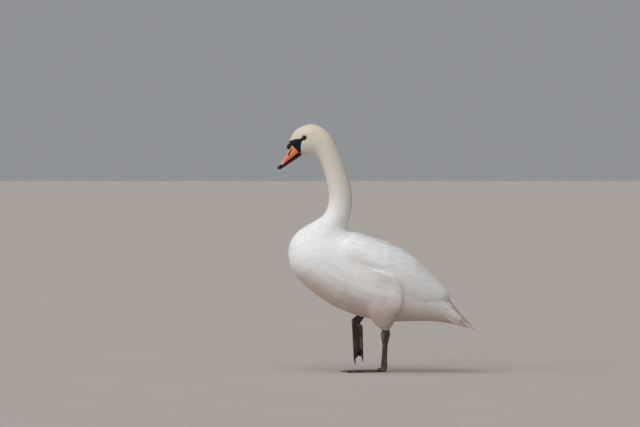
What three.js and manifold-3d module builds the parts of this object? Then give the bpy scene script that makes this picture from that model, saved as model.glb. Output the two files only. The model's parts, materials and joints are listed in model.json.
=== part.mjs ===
// A mute swan, life size, walking: the left foot carries it and the right foot hangs from a raised leg.
// Millimetres, +Z up. The bird faces -Y and its left side is +X. The floor is z = 0.
// Bodies are lofts over ribs, as a boat is drawn: a rib is one cross-section, from its dorsal point to
// its ventral point in the bird's middle plane, with a half-breadth.
import * as THREE from "three";
import { mergeVertices } from "three/addons/utils/BufferGeometryUtils.js";
import Module from "manifold-3d";

const wasm = await Module();
wasm.setup();

// ---- driving dimensions ----
const GAP = 0.3; // between neighbouring solids
const EYE_RADIUS = 6.5;
const EYE_PLACE = [-187.5, 726.5]; // y and z of the eye's centre
const EYE_STANDS_OUT = 2.2; // how far the eyeball shows past the cheek
const KNOB_PLACE = [0, -231, 699.5];
const KNOB_RADII = [9, 10.5, 12.5]; // across, along the brow, out of the brow
const BROW_TILT = -58; // degrees
const MIDDLE_TOE = 124; // joint to claw root
const OUTER_TOE = 116;
const INNER_TOE = 90;
const HIND_TOE = 15;
const CLAW_LENGTH = 12;
const TOE_RADIUS = 4.8; // at the root
const SOLE_PRESS = 0.7; // height of a standing toe's middle line over the floor, in its own radii
const WEB_THICKNESS = 1.6;
const TOE_SPREAD = 25; // degrees between neighbouring toes of the standing foot
const HOCK_RADII = [11, 15]; // across, fore and aft
const SHANK_RADII = [6.5, 8.5]; // the thinnest part of the bare leg

// ---- ribs of the one surface that runs from the brow to the tail's tip ----
// [dorsal y, z, ventral y, z, half-breadth, fullness, widest]. A fullness of 2 is an ellipse, and widest is
// the height of the widest point, from -1 at the ventral point to 1 at the dorsal one.
const HEAD_RIBS = [
  [-236, 714.5, -197, 672, 16, 2.3, 0],
  [-217.5, 750, -187, 673.5, 24.5, 2.2, -0.1],
  [-193, 763, -172, 675.5, 29, 2.1, -0.12],
  [-165, 770, -157, 677.5, 31, 2.1, -0.15],
  [-134, 759.5, -150, 673, 31, 2.1, -0.1],
  [-108, 738, -143, 660, 30.5, 2.1, 0],
];
const NECK_RIBS = [
  [-86, 697, -136, 644, 30, 2, 0],
  [-65, 647, -126, 614, 31, 2, 0],
  [-48.5, 598, -118, 583, 33, 2, 0],
  [-39.5, 548, -112.5, 548, 35.5, 2, 0],
  [-41, 508, -116, 513, 38, 2, 0],
  [-47, 481, -131, 486, 43, 2, 0],
  [-54, 460, -163, 465, 51, 2, 0],
];
const TRUNK_RIBS = [
  [-58, 447, -207, 438, 64, 2.05, 0],
  [-56, 439, -234, 400, 80, 2.1, 0],
  [-46, 432, -239, 352, 96, 2.15, 0],
  [-28, 425, -218, 300, 109, 2.2, 0],
  [0, 415, -163, 249, 117, 2.2, 0],
  [35, 402, -97, 204, 120, 2.2, 0],
  [70, 389, -27, 176, 120, 2.15, 0],
  [105, 371, 40, 160, 116, 2.1, 0],
  [140, 347, 95, 157, 104, 2.1, 0.05],
  [175, 316, 150, 157, 90, 2.1, 0.1],
  [208, 280, 200, 158, 76, 2.1, 0.1],
];
const TAIL_RIBS = [
  [238, 246, 240, 154, 64, 2.1, 0],
  [264, 212, 268, 150, 56, 2.2, 0],
  [291, 181, 296, 145, 48, 2.4, 0],
  [318, 153, 321, 138, 34, 2.4, 0],
  [343, 130, 343, 126, 7, 2.2, 0],
];
const BODY_RIBS = [...HEAD_RIBS, ...NECK_RIBS, ...TRUNK_RIBS, ...TAIL_RIBS];
const HEAD_END = HEAD_RIBS.length - 0.5;
const NECK_END = HEAD_RIBS.length + NECK_RIBS.length;
const TRUNK_END = NECK_END + TRUNK_RIBS.length;
const TAIL_END = BODY_RIBS.length - 1;

// Ribs of the two folded wings together. Only what lies outside the trunk becomes wing.
const WING_RIBS = [
  [-112, 392, -112, 330, 62, 2, 0],
  [-92, 416, -92, 300, 98, 2.1, 0],
  [-62, 437, -62, 282, 116, 2.2, 0],
  [-25, 436, -25, 262, 127, 2.3, 0],
  [20, 422, 20, 240, 132, 2.3, 0],
  [70, 405, 70, 218, 131, 2.3, 0],
  [118, 382, 118, 205, 121, 2.25, 0],
  [165, 349, 165, 196, 104, 2.2, 0],
  [205, 306, 205, 192, 84, 2.2, 0],
  [237, 277, 237, 196, 60, 2.2, 0],
  [256, 252, 256, 210, 36, 2.2, 0],
  [264, 237, 264, 226, 10, 2.2, 0],
];
// Lower edge of the folded wing seen from the side, from the shoulder to the tip.
const WING_EDGE = [
  [-125, 404],
  [-80, 372],
  [-20, 348],
  [30, 322],
  [80, 288],
  [125, 250],
  [163, 221],
  [205, 218],
  [240, 225],
  [275, 238],
];

// The left wing's folded primaries: [centre x, y, z, half thickness, half height]
const PRIMARY_RIBS = [
  [52, 165, 226, 6, 16],
  [42, 215, 224, 7, 17],
  [30, 252, 216, 6, 12],
  [19, 274, 203, 3, 5],
];

// Bill ribs: [culmen y, z, cutting edge y, z, half-breadth]. The lower mandible's run from the cutting edge
// down.
const UPPER_BILL_RIBS = [
  [-229, 708.5, -199.5, 678, 16.5],
  [-238, 688, -217, 666.5, 15.5],
  [-249, 669, -235, 654, 13.8],
  [-257.5, 654, -251, 642.5, 13.2],
  [-264.5, 643, -263, 633.5, 12.6],
  [-270.5, 636, -270.5, 629.5, 8],
  [-273, 632.5, -272.5, 630, 2.5],
];
const LOWER_BILL_RIBS = [
  [-199.8, 677.5, -198, 672, 15],
  [-216.5, 665.9, -213, 661.5, 13.5],
  [-234.6, 653.4, -232, 649.5, 12],
  [-250.6, 641.9, -248.5, 638.3, 11.4],
  [-262.6, 633, -261.3, 630.2, 9.5],
  [-267.5, 630, -266.9, 628.6, 4],
];
const NAIL_START = 4.35; // station of the upper bill where its nail begins

// Legs, in [x, y, z]. The standing foot is close under the middle plane, as in a waddling walk.
const LEFT_JOINT = [6, 59, 15];
const LEFT_HOCK = [25, 63, 117];
const LEFT_SHIN = [30, 65, 142, 7.5, 9.5]; // where the bare leg leaves the thigh, with its radii
const RIGHT_JOINT = [-52, -27, 155];
const RIGHT_HOCK = [-60, 43, 230];
const RIGHT_FOOT_HANG = 91.5; // degrees that the raised foot is turned down from level
// Feathered thighs: [centre x, y, z, radius across, radius fore and aft]
const LEFT_THIGH_RIBS = [
  [72, 20, 262, 34, 50],
  [68, 40, 225, 38, 52],
  [58, 52, 190, 34, 44],
  [43, 60, 160, 26, 34],
  [32, 63, 143, 17, 21],
  [27, 64, 133, 11.5, 12.5],
];
const RIGHT_THIGH_RIBS = [
  [-72, -25, 262, 34, 48],
  [-71, -5, 238, 37, 48],
  [-68, 6, 214, 34, 40],
  [-63, 5, 192, 25, 29],
  [-58, -1, 177, 14, 17],
];

// ---- geometry ----
const radians = THREE.MathUtils.degToRad;

function solidOf(geometry) {
  const bare = geometry.index ? geometry.toNonIndexed() : geometry.clone();
  const places = new THREE.BufferGeometry().setAttribute("position", bare.getAttribute("position"));
  const merged = mergeVertices(places, 1e-4);
  return new wasm.Manifold(
    new wasm.Mesh({
      numProp: 3,
      vertProperties: merged.attributes.position.array,
      triVerts: new Uint32Array(merged.index.array),
    }),
  );
}

function geometryOf(solid) {
  const mesh = solid.getMesh();
  const places = new Float32Array(mesh.numVert * 3);
  for (let i = 0; i < mesh.numVert; i++) {
    places.set(mesh.vertProperties.subarray(i * mesh.numProp, i * mesh.numProp + 3), i * 3);
  }
  return new THREE.BufferGeometry()
    .setAttribute("position", new THREE.BufferAttribute(places, 3))
    .setIndex(new THREE.BufferAttribute(mesh.triVerts, 1));
}

// Joins rings of equal length into one closed solid, with a fan at each end. Each half of the ring has its
// own diagonal, so that the two sides of the bird mirror each other. The faces are turned outwards
// whichever way the rings run.
function loft(rings) {
  const count = rings[0].length;
  const places = [];
  const faces = [];
  rings.forEach((ring) => ring.forEach((p) => places.push(p.x, p.y, p.z)));
  for (let r = 0; r + 1 < rings.length; r++) {
    for (let i = 0; i < count; i++) {
      const a = r * count + i;
      const b = r * count + ((i + 1) % count);
      if (i < count / 2) faces.push(a, b, b + count, a, b + count, a + count);
      else faces.push(a, b, a + count, b, b + count, a + count);
    }
  }
  for (const [start, ring, turn] of [
    [0, rings[0], 1],
    [(rings.length - 1) * count, rings.at(-1), -1],
  ]) {
    const middle = new THREE.Vector3();
    ring.forEach((p) => middle.addScaledVector(p, 1 / count));
    const hub = places.length / 3;
    places.push(middle.x, middle.y, middle.z);
    for (let i = 0; i < count; i++) {
      const pair = [start + i, start + ((i + 1) % count)];
      faces.push(hub, ...(turn > 0 ? pair.reverse() : pair));
    }
  }
  let volume = 0;
  const corner = (k) => new THREE.Vector3().fromArray(places, faces[k] * 3);
  for (let k = 0; k < faces.length; k += 3) {
    volume += corner(k).dot(corner(k + 1).cross(corner(k + 2)));
  }
  if (volume < 0) faces.reverse();
  return new THREE.BufferGeometry()
    .setAttribute("position", new THREE.Float32BufferAttribute(places, 3))
    .setIndex(faces);
}

// A smooth function of the station over rows of numbers, taken in groups of up to three columns.
function smoothRows(rows, groups) {
  const curves = groups.map((columns) => {
    const points = rows.map((row) => new THREE.Vector3(...columns.map((c) => row[c] ?? 0)));
    return new THREE.CatmullRomCurve3(points, false, "centripetal");
  });
  return (station) => curves.map((curve) => curve.getPoint(station / (rows.length - 1)));
}

// One rib's ring: dorsal point top and ventral point low in the middle plane, breadth along X.
function ribRing(top, low, half, fullness, widest, segments, grow) {
  const up = top.clone().sub(low);
  const height = up.length() / 2 + grow;
  const centre = top.clone().add(low).multiplyScalar(0.5);
  up.normalize();
  const power = 2 / fullness;
  const ring = [];
  for (let i = 0; i < segments; i++) {
    const angle = (2 * Math.PI * i) / segments;
    const rise = Math.sign(Math.cos(angle)) * Math.abs(Math.cos(angle)) ** power;
    const side = Math.sign(Math.sin(angle)) * Math.abs(Math.sin(angle)) ** power;
    const lift = widest + (rise > 0 ? 1 - widest : 1 + widest) * rise;
    const p = centre.clone().addScaledVector(up, height * lift);
    p.x += (half + grow) * side;
    ring.push(p);
  }
  return ring;
}

// Lofts the ribs between two stations. The end rings are set in by half the gap, or out by grow.
function ribSolid(rows, { from = 0, to = rows.length - 1, segments = 24, steps = 2, grow = 0 }) {
  const filled = rows.map(([topY, topZ, lowY, lowZ, half, fullness = 2, widest = 0]) => {
    return [0, topY, topZ, lowY, lowZ, half, fullness, widest];
  });
  const at = smoothRows(filled, [
    [0, 1, 2],
    [0, 3, 4],
    [5, 6, 7],
  ]);
  const count = Math.max(2, Math.round((to - from) * steps));
  const rings = [];
  for (let i = 0; i <= count; i++) {
    const [top, low, shape] = at(from + ((to - from) * i) / count);
    rings.push(ribRing(top, low, shape.x, shape.y, shape.z, segments, grow));
  }
  const endNormal = (ring, next) => {
    const quarter = Math.floor(segments / 4);
    const side = ring[quarter].clone().sub(ring[0]);
    const normal = side.cross(ring[segments / 2].clone().sub(ring[0])).normalize();
    return normal.dot(next[quarter].clone().sub(ring[quarter])) < 0 ? normal.negate() : normal;
  };
  const moved = (ring, normal, distance) => ring.map((p) => p.clone().addScaledVector(normal, distance));
  const firstNormal = endNormal(rings[0], rings[1]);
  const lastNormal = endNormal(rings[count], rings[count - 1]);
  if (grow) {
    rings.unshift(moved(rings[0], firstNormal, -grow));
    rings.push(moved(rings.at(-1), lastNormal, -grow));
  } else {
    rings[0] = moved(rings[0], firstNormal, GAP / 2);
    rings[count] = moved(rings[count], lastNormal, GAP / 2);
  }
  return solidOf(loft(rings));
}

// A solid of elliptical rings about a run of centres, each ring square to the run.
// Rows are [x, y, z, radius across, radius fore and aft]. floor keeps every point above that height.
function limbSolid(rows, { segments = 14, steps = 3, grow = 0, floor = -Infinity, ahead = [0, 1, 0] }) {
  const at = smoothRows(rows, [
    [0, 1, 2],
    [3, 4],
  ]);
  const last = rows.length - 1;
  const count = Math.round(last * steps);
  const rings = [];
  for (let i = 0; i <= count; i++) {
    const station = (last * i) / count;
    const [centre, radii] = at(station);
    const [before] = at(Math.max(0, station - 0.02));
    const [after] = at(Math.min(last, station + 0.02));
    const along = after.sub(before).normalize();
    if (i === 0) centre.addScaledVector(along, -grow);
    if (i === count) centre.addScaledVector(along, grow);
    const across = new THREE.Vector3(...ahead).cross(along).normalize();
    const fore = along.clone().cross(across);
    const ring = [];
    for (let k = 0; k < segments; k++) {
      const angle = (2 * Math.PI * k) / segments;
      const p = centre
        .clone()
        .addScaledVector(across, (radii.x + grow) * Math.cos(angle))
        .addScaledVector(fore, (radii.y + grow) * Math.sin(angle));
      p.z = Math.max(p.z, floor);
      ring.push(p);
    }
    rings.push(ring);
  }
  return solidOf(loft(rings));
}

function ellipsoid(radii, place, tilt, grow = 0, detail = 20) {
  const geometry = new THREE.SphereGeometry(1, detail, Math.round(detail * 0.6));
  geometry.scale(...radii.map((r) => r + grow));
  geometry.rotateX(tilt);
  geometry.translate(...place);
  return solidOf(geometry);
}

// ---- materials ----
const colour = (hex, roughness) => new THREE.MeshStandardMaterial({ color: hex, roughness, metalness: 0 });
const plumage = colour(0xe9e6e1, 0.85);
const creamPlumage = colour(0xe2d8c6, 0.85);
const orangeHorn = colour(0xdd6a3c, 0.45);
const blackHorn = colour(0x17181a, 0.4);
const eyeGloss = colour(0x0d0b0a, 0.08);
const legSkin = colour(0x4a4037, 0.7);

const bird = new THREE.Group();
function add(name, solid, material, parent = bird) {
  const mesh = new THREE.Mesh(geometryOf(solid), material);
  mesh.name = name;
  parent.add(mesh);
}

// ---- head: eyes set in sockets, knob, bill in two mandibles, nail ----
const body = (from, to, grow = 0, steps = 1.6) => ribSolid(BODY_RIBS, { from, to, grow, steps });
const headShape = body(0, HEAD_END, 0, 2);
const headGrown = body(0, HEAD_END, GAP, 2);

function cheekBreadthAt(y, z) {
  const probe = solidOf(new THREE.BoxGeometry(100, 1, 1).translate(50, y, z));
  const [x] = headShape.intersect(probe).boundingBox().max;
  return x;
}
const eyeX = cheekBreadthAt(...EYE_PLACE) + EYE_STANDS_OUT - EYE_RADIUS;
let head = headShape;
for (const [name, side] of [
  ["eye_left", 1],
  ["eye_right", -1],
]) {
  const place = [side * eyeX, ...EYE_PLACE];
  const radii = [EYE_RADIUS, EYE_RADIUS, EYE_RADIUS];
  add(name, ellipsoid(radii, place, 0, 0, 10), eyeGloss);
  head = head.subtract(ellipsoid(radii, place, 0, GAP, 10));
}
const knobShape = (grow) => ellipsoid(KNOB_RADII, KNOB_PLACE, radians(BROW_TILT), grow, 14);
add("head", head, creamPlumage);
add("bill_knob", knobShape(0).subtract(headGrown), blackHorn);
function upperBill(from, to) {
  const horn = ribSolid(UPPER_BILL_RIBS, { from, to, segments: 16, steps: 2 });
  return horn.subtract(headGrown).subtract(knobShape(GAP));
}
add("bill_upper", upperBill(0, NAIL_START), orangeHorn);
add("bill_nail", upperBill(NAIL_START, UPPER_BILL_RIBS.length - 1), blackHorn);
add("bill_lower", ribSolid(LOWER_BILL_RIBS, { segments: 12, steps: 1 }).subtract(headGrown), blackHorn);

// ---- neck in three lengths ----
const neckCuts = [HEAD_END, HEAD_END + 2.4, HEAD_END + 4.6, NECK_END];
["neck_upper", "neck_middle", "neck_lower"].forEach((name, i) => {
  add(name, body(neckCuts[i], neckCuts[i + 1]), creamPlumage);
});

// ---- trunk, tail, thighs and folded wings ----
const trunk = body(NECK_END, TRUNK_END);
const tail = body(TRUNK_END, TAIL_END, 0, 2);
const trunkGrown = body(NECK_END, TRUNK_END, GAP);
const tailGrown = body(TRUNK_END, TAIL_END, 2 * GAP, 2);
const neckGrown = body(neckCuts[2], NECK_END, GAP);
add("trunk", trunk, plumage);
add("tail", tail, plumage);

const thighs = { left: LEFT_THIGH_RIBS, right: RIGHT_THIGH_RIBS };
const thighGrown = {};
for (const [side, rows] of Object.entries(thighs)) {
  add("thigh_" + side, limbSolid(rows, { segments: 16, steps: 2 }).subtract(trunkGrown), plumage);
  thighGrown[side] = limbSolid(rows, { segments: 16, steps: 2, grow: GAP });
}

const OVER_THE_BACK = 520; // a height clear of the back, where the wing's side view is closed
const wingSide = new THREE.Shape();
wingSide.moveTo(...WING_EDGE[0]);
wingSide.splineThru(WING_EDGE.slice(1).map((p) => new THREE.Vector2(...p)));
wingSide.lineTo(WING_EDGE.at(-1)[0], OVER_THE_BACK);
wingSide.lineTo(WING_EDGE[0][0], OVER_THE_BACK);
wingSide.closePath();
// The side view's outline is drawn in Y and Z, and pushed out along X from the middle plane.
const sideways = new THREE.Matrix4().set(0, 0, 1, 0, 1, 0, 0, 0, 0, 1, 0, 0, 0, 0, 0, 1);
const leftHalf = solidOf(
  new THREE.ExtrudeGeometry(wingSide, { depth: 200, bevelEnabled: false, curveSegments: 10 })
    .translate(0, 0, GAP / 2)
    .applyMatrix4(sideways),
);
const bothWings = ribSolid(WING_RIBS, { segments: 24, steps: 1.2 });

// The folded primaries: a flat blade that starts under the wing and ends past its tip.
const primaryBlade = (grow) => limbSolid(PRIMARY_RIBS, { segments: 8, steps: 2, grow, ahead: [0, 0.5, 1] });
const leftWing = bothWings
  .intersect(leftHalf)
  .subtract(trunkGrown)
  .subtract(tailGrown)
  .subtract(neckGrown)
  .subtract(primaryBlade(GAP));
const leftPrimaries = primaryBlade(0).subtract(trunkGrown).subtract(tailGrown);

function largest(solid) {
  return solid.decompose().reduce((a, b) => (b.volume() > a.volume() ? b : a));
}
for (const [name, solid] of [
  ["wing", leftWing],
  ["primaries", leftPrimaries],
]) {
  const whole = largest(solid);
  add(name + "_left", whole, plumage);
  add(name + "_right", whole.mirror([1, 0, 0]), plumage);
}

// ---- legs and feet ----
// A foot in its own frame: the joint is over the origin, the toes point along -Y and the back of the foot
// is +Z. On the left foot the inner toe lies towards -X.
const TOES = [
  { name: "inner", length: INNER_TOE, side: -1 },
  { name: "middle", length: MIDDLE_TOE, side: 0 },
  { name: "outer", length: OUTER_TOE, side: 1 },
];
// The ball of the foot: [x, y, z, half-breadth, half height]
const BALL_RIBS = [
  [0, 7, 6, 5.5, 6],
  [0, 3, 7, 8, 8],
  [0, -6, 6.5, 9, 7.5],
  [0, -18, 6, 9.5, 6.5],
];
const PALM_REACH = 30; // how far the toes run together inside the palm
const TOE_STEP = 16; // between the rings of a toe
// spread turns the side toes out, in degrees. apart and tuck move them sideways and under the middle toe.
// claw is how far a claw hooks down, fold how far a web hangs between its toes, and part where they part.
const STANDING = { spread: TOE_SPREAD, apart: 0, tuck: 0, lift: 0, claw: 3, fold: 1.5, part: 30, floor: 0 };
const HANGING = { spread: 1.5, apart: 6.5, tuck: 24, lift: 5, claw: 4, fold: -2, part: 15, floor: -Infinity };

function toeRadius(toe, distance) {
  const share = distance / toe.length;
  const knuckle = 0.5 * Math.cos(share * 4 * 2 * Math.PI) ** 2;
  return TOE_RADIUS * (1 - 0.4 * share) + knuckle;
}

// The middle line of a toe, as a function of the distance from the joint.
function toeLine(toe, pose, mirror) {
  const angle = radians(toe.side * pose.spread);
  return (distance) => {
    const open = Math.min(1, distance / pose.part);
    const radius = toeRadius(toe, Math.min(distance, toe.length));
    return new THREE.Vector3(
      mirror * (Math.sin(angle) * distance + toe.side * pose.apart * open),
      -Math.cos(angle) * distance,
      pose.lift + radius * SOLE_PRESS - Math.abs(toe.side) * pose.tuck * open,
    );
  };
}

function toeSolid(toe, pose, mirror, from, to, grow = 0) {
  const line = toeLine(toe, pose, mirror);
  const count = Math.max(2, Math.round((to - from) / TOE_STEP));
  const rows = [];
  for (let i = 0; i <= count; i++) {
    const distance = from + ((to - from) * i) / count;
    const radius = toeRadius(toe, distance);
    rows.push([...line(distance).toArray(), radius, radius]);
  }
  return limbSolid(rows, { segments: 8, steps: 1, grow, floor: pose.floor, ahead: [0, 0, 1] });
}

function clawSolid(toe, pose, mirror) {
  const line = toeLine(toe, pose, mirror);
  const rows = [];
  for (const share of [0, 0.35, 0.7, 1]) {
    const p = line(toe.length + 2 * GAP + share * CLAW_LENGTH);
    p.z -= pose.claw * share * share;
    const radius = TOE_RADIUS * 0.6 * (1 - share * 0.88);
    rows.push([...p.toArray(), radius * 0.8, radius]);
  }
  return limbSolid(rows, { segments: 6, steps: 1, floor: pose.floor, ahead: [0, 0, 1] });
}

// The skin between two toes: a thin plate ruled from one toe's line to the other's, hollow at its front edge.
const WEB_ROWS = 4;
const WEB_COLUMNS = 2;
function webSolid(toeA, toeB, pose, mirror) {
  const lines = [toeLine(toeA, pose, mirror), toeLine(toeB, pose, mirror)];
  const start = pose.part * 0.6;
  const middle = (u, v) => {
    const hollow = 0.96 * (1 - 0.16 * Math.sin(Math.PI * v));
    const a = lines[0](start + u * (toeA.length * hollow - start));
    const b = lines[1](start + u * (toeB.length * hollow - start));
    const p = a.lerp(b, v);
    p.z -= pose.fold * Math.sin(Math.PI * v) * Math.min(1, 2 * u);
    return p;
  };
  const ahead = new THREE.Vector3(0, -1, 0);
  const rings = [];
  for (let r = 0; r <= WEB_ROWS; r++) {
    const u = r / WEB_ROWS;
    const top = [];
    const under = [];
    for (let c = 0; c <= WEB_COLUMNS; c++) {
      const v = c / WEB_COLUMNS;
      const across = middle(u, Math.min(1, v + 0.01)).sub(middle(u, Math.max(0, v - 0.01)));
      const normal = across.cross(ahead).normalize();
      if (normal.z < 0) normal.negate();
      const low = middle(u, v).addScaledVector(normal, -WEB_THICKNESS / 2);
      low.z = Math.max(low.z, pose.floor + 0.1);
      under.unshift(low);
      top.push(low.clone().addScaledVector(normal, WEB_THICKNESS));
    }
    rings.push([...top, ...under]);
  }
  return solidOf(loft(rings));
}

function foot(side, pose, frame) {
  const mirror = side === "left" ? 1 : -1;
  const group = new THREE.Group();
  group.applyMatrix4(frame);
  bird.add(group);
  const palm = (grow) => {
    const ball = limbSolid(BALL_RIBS, { segments: 10, steps: 1, grow, floor: pose.floor, ahead: [0, 0, 1] });
    return TOES.reduce((whole, toe) => whole.add(toeSolid(toe, pose, mirror, 0, PALM_REACH, grow)), ball);
  };
  const palmGrown = palm(GAP);
  const toesGrown = TOES.map((toe) => toeSolid(toe, pose, mirror, PALM_REACH, toe.length, GAP));
  add("palm_" + side, palm(0), legSkin, group);
  TOES.forEach((toe) => {
    const solid = toeSolid(toe, pose, mirror, PALM_REACH, toe.length).subtract(palmGrown);
    add("toe_" + toe.name + "_" + side, largest(solid), legSkin, group);
    add("claw_" + toe.name + "_" + side, clawSolid(toe, pose, mirror), blackHorn, group);
  });
  for (const [name, a, b] of [
    ["inner", 0, 1],
    ["outer", 2, 1],
  ]) {
    const web = webSolid(TOES[a], TOES[b], pose, mirror);
    const clear = web.subtract(palmGrown).subtract(toesGrown[a]).subtract(toesGrown[b]);
    add("web_" + name + "_" + side, largest(clear), legSkin, group);
  }
  return palmGrown.transform(frame.elements.slice());
}

function footFrame(place, hang) {
  return new THREE.Matrix4().makeTranslation(...place).multiply(new THREE.Matrix4().makeRotationX(hang));
}
const palms = {
  left: foot("left", STANDING, footFrame([LEFT_JOINT[0], LEFT_JOINT[1], 0], 0)),
  right: foot("right", HANGING, footFrame(RIGHT_JOINT, radians(RIGHT_FOOT_HANG))),
};

// The bare leg from the feather edge over the hock to the toe joint, and the hind toe on its inner side.
// start holds rows above the hock. back is the way the heel side faces. swell thickens the lower end.
function leg(side, hock, joint, start, back, swell) {
  const inward = side === "left" ? -1 : 1;
  const top = new THREE.Vector3(...hock);
  const low = new THREE.Vector3(...joint);
  const on = (share) => top.clone().lerp(low, share).toArray();
  const rows = [
    ...start,
    [...on(-0.02), ...HOCK_RADII],
    [...on(0.1), HOCK_RADII[0] * 0.84, HOCK_RADII[1] * 0.88],
    [...on(0.3), ...SHANK_RADII],
    [...on(0.6), SHANK_RADII[0], SHANK_RADII[1] * 0.98],
    [...on(0.86), SHANK_RADII[0] * 1.2, SHANK_RADII[1] * 1.12 * swell],
    [...on(0.98), SHANK_RADII[0] * 1.4, SHANK_RADII[1] * 1.3 * swell],
    [...on(1.07), SHANK_RADII[0] * 1.2, SHANK_RADII[1] * 1.1 * swell],
  ];
  const shape = { segments: 12, steps: 1, ahead: back.toArray() };
  const shank = limbSolid(rows, shape).subtract(palms[side]).subtract(trunkGrown).subtract(thighGrown[side]);
  const along = low.clone().sub(top).normalize();
  const root = low
    .clone()
    .addScaledVector(along, -0.12 * top.distanceTo(low))
    .addScaledVector(back, SHANK_RADII[1] * 0.75);
  const toeRows = [0, 0.5, 1].map((share) => {
    const p = root.clone().addScaledVector(along, share * HIND_TOE * 0.55);
    p.x += inward * (SHANK_RADII[0] * 0.7 + share * HIND_TOE * 0.8);
    return [...p.toArray(), 3.2 - share, 3.6 - share];
  });
  const hind = limbSolid(toeRows, { segments: 8, steps: 1, ahead: back.toArray() })
    .subtract(limbSolid(rows, { ...shape, grow: GAP }))
    .subtract(palms[side]);
  add("leg_" + side, largest(shank), legSkin);
  add("toe_hind_" + side, largest(hind), legSkin);
}
leg("left", LEFT_HOCK, LEFT_JOINT, [LEFT_SHIN], new THREE.Vector3(0, 1, 0), 1);
leg("right", RIGHT_HOCK, RIGHT_JOINT, [], new THREE.Vector3(0, 0.52, -0.85), 1.25);

// The origin is under the middle of the whole bird, on the floor.
const box = new THREE.Box3().setFromObject(bird, true);
const middle = box.getCenter(new THREE.Vector3());
bird.position.set(-middle.x, -middle.y, -box.min.z);

export default bird;
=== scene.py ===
import json
import math

import bpy
import numpy as np
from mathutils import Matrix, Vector, noise
from mathutils.bvhtree import BVHTree
from mathutils.kdtree import KDTree

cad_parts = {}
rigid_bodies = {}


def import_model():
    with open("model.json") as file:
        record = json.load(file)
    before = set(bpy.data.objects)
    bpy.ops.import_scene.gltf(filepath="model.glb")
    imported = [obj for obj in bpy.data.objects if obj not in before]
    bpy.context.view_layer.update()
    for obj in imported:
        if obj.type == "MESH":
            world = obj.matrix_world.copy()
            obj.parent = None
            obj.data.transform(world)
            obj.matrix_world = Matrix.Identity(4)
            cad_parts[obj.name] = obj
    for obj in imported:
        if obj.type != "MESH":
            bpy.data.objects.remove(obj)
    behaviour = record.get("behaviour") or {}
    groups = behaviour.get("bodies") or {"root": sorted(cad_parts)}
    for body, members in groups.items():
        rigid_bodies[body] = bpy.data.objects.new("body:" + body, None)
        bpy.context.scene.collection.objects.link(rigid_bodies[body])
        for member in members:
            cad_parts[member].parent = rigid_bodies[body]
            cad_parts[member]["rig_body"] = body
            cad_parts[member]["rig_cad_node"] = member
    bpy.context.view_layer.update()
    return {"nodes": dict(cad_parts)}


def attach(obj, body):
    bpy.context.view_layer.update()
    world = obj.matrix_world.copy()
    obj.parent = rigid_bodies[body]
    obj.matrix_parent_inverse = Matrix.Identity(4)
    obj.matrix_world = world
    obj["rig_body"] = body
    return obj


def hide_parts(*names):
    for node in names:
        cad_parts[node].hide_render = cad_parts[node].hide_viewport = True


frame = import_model()

# A mute swan walking, as a life-size still model. Metres, +Z up. The bird faces -Y, its left side is +X.

# ---- studio ----
# The bird stands on a plain pale floor. A long lens looks at its left side from twelve metres away, from a
# little above its back. One wide soft light comes from above and in front, with a pale sky all round.
CAMERA_PLACE = (12.0, -0.1745, 0.610)
CAMERA_TILT = math.radians(89.435)
bpy.ops.object.camera_add(location=CAMERA_PLACE, rotation=(CAMERA_TILT, 0, math.radians(90)))
camera = bpy.context.object
camera.name = "studio_camera"
camera.data.lens = 217.7
camera.data.clip_end = 900
bpy.context.scene.camera = camera

bpy.ops.mesh.primitive_plane_add(size=800)
floor = bpy.context.object
floor.name = "floor"

bpy.ops.object.light_add(type="SUN", location=(2, -3, 5))
sun = bpy.context.object
sun.data.energy = 2.25
sun.data.angle = math.radians(85)
sun.rotation_euler = Vector((-0.62, 0.62, -0.95)).to_track_quat("-Z", "Y").to_euler()

world = bpy.data.worlds.new("studio_sky")
world.use_nodes = True
world.node_tree.nodes["Background"].inputs["Color"].default_value = (0.93, 0.96, 1.0, 1)
world.node_tree.nodes["Background"].inputs["Strength"].default_value = 0.30
bpy.context.scene.world = world
bpy.context.scene.view_settings.view_transform = "Standard"


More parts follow.
